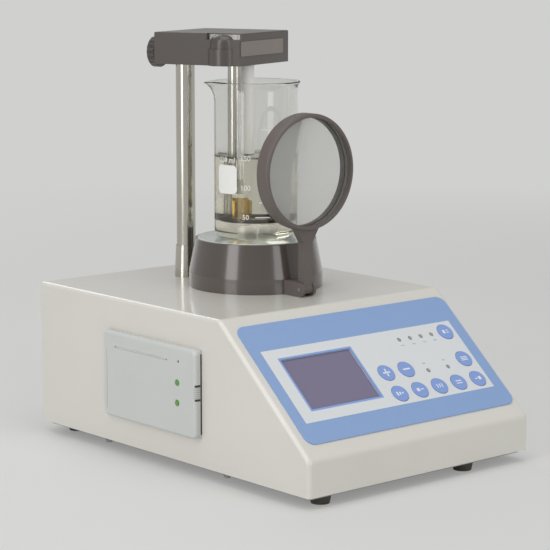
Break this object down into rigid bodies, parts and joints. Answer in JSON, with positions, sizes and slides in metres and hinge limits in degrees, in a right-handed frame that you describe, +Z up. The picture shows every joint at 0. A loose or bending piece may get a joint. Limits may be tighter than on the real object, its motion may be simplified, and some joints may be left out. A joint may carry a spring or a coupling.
{
  "type": "melting point apparatus",
  "caption": "Oil bath melting point apparatus: sloped case with display and keys, glass beaker on a stirrer cup, heater and probe on a lifting head, magnifier and built in printer.",
  "frame": {"origin": "centre of the bounding box on the table plane", "axes": "+X right as seen from the front, +Y to the rear, +Z up"},
  "size_m": [0.2103, 0.303, 0.2921],
  "materials": {
    "cover_paint": "semi-gloss enamel",
    "base_zinc": "zinc plated",
    "foot_rubber": "matt",
    "screw_steel": "bright",
    "overlay_film": "printed film",
    "clear_window": "clear",
    "circuit_board": "solder mask",
    "key_blue": "satin",
    "lamp_lens": "translucent",
    "spacer_nylon": "matt",
    "cup_dark": "gloss lacquer",
    "plate_pale": "glazed",
    "beaker_glass": "clear",
    "ptfe_white": "satin",
    "rotor_steel": "turned",
    "post_chrome": "polished",
    "collar_dark": "matt",
    "head_dark": "fine texture",
    "head_inset": "satin anodised",
    "steel_bright": "drawn",
    "heater_sheath": "oxidised",
    "holder_brass": "turned",
    "lens_glass": "polished",
    "printer_grey": "satin",
    "key_green": "satin",
    "mechanism_black": "matt",
    "platen_rubber": "ground",
    "paper_white": "smooth",
    "core_steel": "varnished"
  },
  "bodies": {
    "case": {"case_cover": "cover_paint", "base_plate": "base_zinc", "rear_panel": "cover_paint", "foot_front_left": "foot_rubber", "foot_front_right": "foot_rubber", "foot_rear_left": "foot_rubber", "foot_rear_right": "foot_rubber", "case_screws": "screw_steel", "control_overlay": "overlay_film", "screen_window": "clear_window", "display_module": "circuit_board", "key_board": "circuit_board", "indicator_lamps": "lamp_lens", "panel_spacers": "spacer_nylon", "stirrer_cup": "cup_dark", "cup_plate": "plate_pale", "beaker": "beaker_glass", "stirrer_motor": "rotor_steel", "motor_bracket": "base_zinc", "post_collar": "post_chrome", "post_guide": "collar_dark", "magnifier_bracket": "collar_dark", "bracket_pin": "screw_steel", "printer_frame": "printer_grey", "print_mechanism": "mechanism_black", "power_inlet": "mechanism_black", "rocker_frame": "mechanism_black", "fuse_holder": "mechanism_black", "transformer": "core_steel", "main_board": "circuit_board"},
    "key_plus": {"key_plus": "key_blue"},
    "key_minus": {"key_minus": "key_blue"},
    "key_right_top": {"key_right_top": "key_blue"},
    "key_right_middle": {"key_right_middle": "key_blue"},
    "key_row_1": {"key_row_1": "key_blue"},
    "key_row_2": {"key_row_2": "key_blue"},
    "key_row_3": {"key_row_3": "key_blue"},
    "key_row_4": {"key_row_4": "key_blue"},
    "key_row_5": {"key_row_5": "key_blue"},
    "rotor": {"magnet_rotor": "rotor_steel"},
    "stir_bar": {"stir_bar": "ptfe_white"},
    "post": {"post": "post_chrome"},
    "head": {"head_body": "head_dark", "head_floor": "head_dark", "head_plate": "head_inset", "heater_sleeve": "steel_bright", "heater": "heater_sheath", "probe_sleeve": "ptfe_white", "probe_tube": "steel_bright", "capillary_holder": "holder_brass", "holder_cap": "ptfe_white"},
    "clamp_knob": {"clamp_knob": "head_dark"},
    "magnifier": {"magnifier_frame": "collar_dark", "magnifier_lens": "lens_glass"},
    "printer_door": {"printer_door": "printer_grey"},
    "printer_key_feed": {"printer_key_feed": "key_green"},
    "printer_key_select": {"printer_key_select": "key_green"},
    "platen": {"platen_roller": "platen_rubber"},
    "paper_roll": {"paper_roll": "paper_white"},
    "power_rocker": {"power_rocker": "mechanism_black"}
  },
  "joints": [
    {"name": "key_plus_press", "type": "slide", "parent": "case", "child": "key_plus", "axis": [0, 0.6597, -0.7515], "range_m": [0, 0.0005], "stiffness_N_per_m": 1500},
    {"name": "key_minus_press", "type": "slide", "parent": "case", "child": "key_minus", "axis": [0, 0.6597, -0.7515], "range_m": [0, 0.0005], "stiffness_N_per_m": 1500},
    {"name": "key_right_top_press", "type": "slide", "parent": "case", "child": "key_right_top", "axis": [0, 0.6597, -0.7515], "range_m": [0, 0.0005], "stiffness_N_per_m": 1500},
    {"name": "key_right_middle_press", "type": "slide", "parent": "case", "child": "key_right_middle", "axis": [0, 0.6597, -0.7515], "range_m": [0, 0.0005], "stiffness_N_per_m": 1500},
    {"name": "key_row_1_press", "type": "slide", "parent": "case", "child": "key_row_1", "axis": [0, 0.6597, -0.7515], "range_m": [0, 0.0005], "stiffness_N_per_m": 1500},
    {"name": "key_row_2_press", "type": "slide", "parent": "case", "child": "key_row_2", "axis": [0, 0.6597, -0.7515], "range_m": [0, 0.0005], "stiffness_N_per_m": 1500},
    {"name": "key_row_3_press", "type": "slide", "parent": "case", "child": "key_row_3", "axis": [0, 0.6597, -0.7515], "range_m": [0, 0.0005], "stiffness_N_per_m": 1500},
    {"name": "key_row_4_press", "type": "slide", "parent": "case", "child": "key_row_4", "axis": [0, 0.6597, -0.7515], "range_m": [0, 0.0005], "stiffness_N_per_m": 1500},
    {"name": "key_row_5_press", "type": "slide", "parent": "case", "child": "key_row_5", "axis": [0, 0.6597, -0.7515], "range_m": [0, 0.0005], "stiffness_N_per_m": 1500},
    {"name": "rotor_spin", "type": "hinge", "parent": "case", "child": "rotor", "pos_m": [0.0134, 0.0327, 0.14], "axis": [0, 0, 1], "continuous": true},
    {"name": "stir_bar_spin", "type": "hinge", "parent": "case", "child": "stir_bar", "pos_m": [0.0134, 0.0327, 0.14], "axis": [0, 0, 1], "continuous": true},
    {"name": "post_lift", "type": "slide", "parent": "case", "child": "post", "axis": [0, 0, 1], "range_m": [0, 0.1]},
    {"name": "head_swing", "type": "hinge", "parent": "post", "child": "head", "pos_m": [-0.0008, 0.0958, 0.2], "axis": [0, 0, 1], "range_deg": [-1.2, 1.2]},
    {"name": "knob_turn", "type": "hinge", "parent": "head", "child": "clamp_knob", "pos_m": [-0.0008, 0.0958, 0.2766], "axis": [-0.3584, 0.9336, 0], "range_deg": [-180, 180]},
    {"name": "magnifier_tilt", "type": "hinge", "parent": "case", "child": "magnifier", "pos_m": [0.006, -0.0295, 0.1162], "axis": [1, 0, 0], "range_deg": [-8, 75]},
    {"name": "printer_door_swing", "type": "hinge", "parent": "case", "child": "printer_door", "pos_m": [-0.1018, 0.05755, 0.058], "axis": [0, 0, -1], "range_deg": [0, 90]},
    {"name": "printer_feed_press", "type": "slide", "parent": "printer_door", "child": "printer_key_feed", "axis": [1, 0, 0], "range_m": [0, 0.0004], "stiffness_N_per_m": 1000},
    {"name": "printer_select_press", "type": "slide", "parent": "printer_door", "child": "printer_key_select", "axis": [1, 0, 0], "range_m": [0, 0.0004], "stiffness_N_per_m": 1000},
    {"name": "platen_spin", "type": "hinge", "parent": "case", "child": "platen", "pos_m": [-0.0915, 0.0155, 0.075], "axis": [0, -1, 0], "continuous": true},
    {"name": "paper_roll_spin", "type": "hinge", "parent": "case", "child": "paper_roll", "pos_m": [-0.078, 0.0078, 0.051], "axis": [0, -1, 0], "continuous": true},
    {"name": "rocker_switch", "type": "hinge", "parent": "case", "child": "power_rocker", "pos_m": [-0.019, 0.1395, 0.042], "axis": [0, 0, -1], "range_deg": [0, 20]}
  ],
  "couplings": [
    {"joint": "stir_bar_spin", "follows": "rotor_spin", "ratio": 1},
    {"joint": "paper_roll_spin", "follows": "platen_spin", "ratio": 0.28125}
  ]
}
